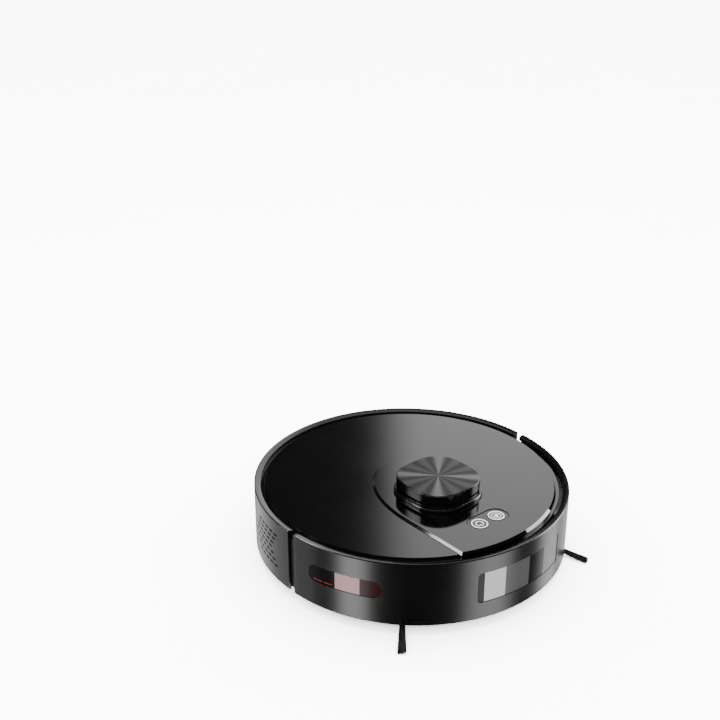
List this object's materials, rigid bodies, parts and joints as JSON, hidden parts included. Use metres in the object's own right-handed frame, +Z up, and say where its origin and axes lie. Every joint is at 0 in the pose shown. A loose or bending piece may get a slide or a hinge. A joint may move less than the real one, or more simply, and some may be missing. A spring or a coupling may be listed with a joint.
{
  "type": "robot vacuum",
  "caption": "Low round robot vacuum with a raised square laser turret, sprung front bumper, rear dust bin, drive wheels, roller brush and corner side brushes.",
  "frame": {"origin": "on the floor under the middle of the robot's outline", "axes": "+X is forward, the way it drives; +Y is the robot's left; +Z is up"},
  "size_m": [0.35, 0.345, 0.1025],
  "materials": {
    "shell_black": "satin black moulded shell",
    "deck_gloss": "polished black cover",
    "base_black": "fine textured black plastic",
    "bezel_grey": "satin dark grey",
    "button_white": "white printed ring on a black cap",
    "turret_metal": "radially brushed dark metal film",
    "lens_dark": "infra-red passing dark lens",
    "window_clear": "glossy grey sensor window",
    "window_red": "glossy infra-red window",
    "steel": "plain steel",
    "gold_contact": "gold plated",
    "battery_wrap": "blue shrink wrap over cells",
    "board_green": "solder resist",
    "dark_plastic": "moulded dark grey",
    "roller_rubber": "soft grey rubber",
    "tyre_rubber": "ribbed black rubber",
    "caster_white": "light grey nylon",
    "bin_tinted": "smoked clear plastic",
    "filter_paper": "pleated filter paper",
    "bristle": "black nylon bristle"
  },
  "bodies": {
    "body": {"chassis": "base_black", "rear_shell": "shell_black", "top_deck": "deck_gloss", "deck_insert": "deck_gloss", "button_bezel": "bezel_grey", "lidar_base": "shell_black", "lidar_guard": "shell_black", "lidar_cap": "turret_metal", "lidar_motor": "steel", "battery": "battery_wrap", "battery_door": "base_black", "main_board": "board_green", "fan_housing": "dark_plastic", "fan_motor": "steel", "brush_housing": "dark_plastic", "brush_motor": "dark_plastic", "caster_socket": "dark_plastic", "speaker": "dark_plastic", "cliff_sensor_front": "lens_dark", "cliff_sensor_left": "lens_dark", "cliff_sensor_right": "lens_dark", "charge_contact_left": "gold_contact", "bumper_spring_left": "steel", "wheel_housing_left": "dark_plastic", "wheel_spring_left": "steel", "side_brush_motor_left": "dark_plastic", "charge_contact_right": "gold_contact", "bumper_spring_right": "steel", "wheel_housing_right": "dark_plastic", "wheel_spring_right": "steel", "side_brush_motor_right": "dark_plastic"},
    "bumper_frame": {"bumper": "shell_black", "front_window": "window_clear", "side_window": "window_red"},
    "power_key": {"button_power": "button_white"},
    "home_key": {"button_home": "button_white"},
    "lidar_spinner": {"lidar_rotor": "dark_plastic", "lidar_lens": "lens_dark"},
    "caster_swivel": {"caster_fork": "dark_plastic"},
    "caster_roll": {"caster_wheel": "caster_white"},
    "main_roller": {"roller_core": "dark_plastic", "roller_fins": "roller_rubber"},
    "roller_guard": {"brush_guard": "dark_plastic"},
    "fan_wheel": {"fan_impeller": "dark_plastic"},
    "bin": {"dustbin": "bin_tinted", "bin_lid": "bin_tinted", "bin_filter": "filter_paper"},
    "bin_key": {"bin_release_button": "dark_plastic"},
    "inlet_flap": {"dust_flap": "roller_rubber"},
    "port_flap": {"dust_port_flap": "roller_rubber"},
    "arm_left": {"wheel_arm_left": "dark_plastic"},
    "wheel_left": {"wheel_hub_left": "dark_plastic", "tyre_left": "tyre_rubber"},
    "sweeper_left": {"side_brush_left": "bristle"},
    "arm_right": {"wheel_arm_right": "dark_plastic"},
    "wheel_right": {"wheel_hub_right": "dark_plastic", "tyre_right": "tyre_rubber"},
    "sweeper_right": {"side_brush_right": "bristle"}
  },
  "joints": [
    {"name": "bumper_press", "type": "slide", "parent": "body", "child": "bumper_frame", "axis": [-1, 0, 0], "range_m": [0, 0.005], "stiffness_N_per_m": 400, "springref_m": -0.003, "deforming": ["bumper_spring_left", "bumper_spring_right"]},
    {"name": "power_press", "type": "slide", "parent": "body", "child": "power_key", "axis": [0, 0, -1], "range_m": [0, 0.0008], "stiffness_N_per_m": 800, "springref_m": -0.001},
    {"name": "home_press", "type": "slide", "parent": "body", "child": "home_key", "axis": [0, 0, -1], "range_m": [0, 0.0008], "stiffness_N_per_m": 800, "springref_m": -0.001},
    {"name": "lidar_spin", "type": "hinge", "parent": "body", "child": "lidar_spinner", "pos_m": [0.0436, 0, 0.088], "axis": [0, 0, 1], "continuous": true},
    {"name": "caster_turn", "type": "hinge", "parent": "body", "child": "caster_swivel", "pos_m": [0.125, 0, 0.03], "axis": [0, 0, 1], "continuous": true},
    {"name": "caster_spin", "type": "hinge", "parent": "caster_swivel", "child": "caster_roll", "pos_m": [0.121, 0, 0.0115], "axis": [0, 1, 0], "continuous": true},
    {"name": "roller_spin", "type": "hinge", "parent": "body", "child": "main_roller", "pos_m": [-0.045, 0, 0.022], "axis": [0, 1, 0], "continuous": true},
    {"name": "guard_release", "type": "slide", "parent": "body", "child": "roller_guard", "axis": [0, 0, -1], "range_m": [0, 0.02]},
    {"name": "fan_spin", "type": "hinge", "parent": "body", "child": "fan_wheel", "pos_m": [-0.084, -0.115, 0.046], "axis": [0, 0, 1], "continuous": true},
    {"name": "bin_slide", "type": "slide", "parent": "body", "child": "bin", "axis": [-1, 0, 0], "range_m": [0, 0.1]},
    {"name": "bin_release_press", "type": "slide", "parent": "bin", "child": "bin_key", "axis": [1, 0, 0], "range_m": [0, 0.002], "stiffness_N_per_m": 600, "springref_m": -0.001},
    {"name": "inlet_flap_swing", "type": "hinge", "parent": "bin", "child": "inlet_flap", "pos_m": [-0.0817, 0, 0.0447], "axis": [0, 1, 0], "range_deg": [0, 75]},
    {"name": "port_flap_swing", "type": "hinge", "parent": "bin", "child": "port_flap", "pos_m": [-0.16574, 0.04527, 0.043], "axis": [-0.2672, -0.9636, 0], "range_deg": [0, 70]},
    {"name": "arm_drop_left", "type": "hinge", "parent": "body", "child": "arm_left", "pos_m": [0.038, 0.0968, 0.04], "axis": [0, 1, 0], "range_deg": [-25, 0], "stiffness_Nm_per_rad": 0.12, "springref_deg": -68.75, "deforming": ["wheel_spring_left"]},
    {"name": "wheel_spin_left", "type": "hinge", "parent": "arm_left", "child": "wheel_left", "pos_m": [-0.0025, 0.118, 0.035], "axis": [0, 1, 0], "continuous": true},
    {"name": "sweeper_spin_left", "type": "hinge", "parent": "body", "child": "sweeper_left", "pos_m": [0.1, 0.101, 0.01], "axis": [0, 0, 1], "continuous": true},
    {"name": "arm_drop_right", "type": "hinge", "parent": "body", "child": "arm_right", "pos_m": [0.038, -0.0968, 0.04], "axis": [0, 1, 0], "range_deg": [-25, 0], "stiffness_Nm_per_rad": 0.12, "springref_deg": -68.75, "deforming": ["wheel_spring_right"]},
    {"name": "wheel_spin_right", "type": "hinge", "parent": "arm_right", "child": "wheel_right", "pos_m": [-0.0025, -0.118, 0.035], "axis": [0, 1, 0], "continuous": true},
    {"name": "sweeper_spin_right", "type": "hinge", "parent": "body", "child": "sweeper_right", "pos_m": [0.1, -0.101, 0.01], "axis": [0, 0, 1], "continuous": true}
  ]
}
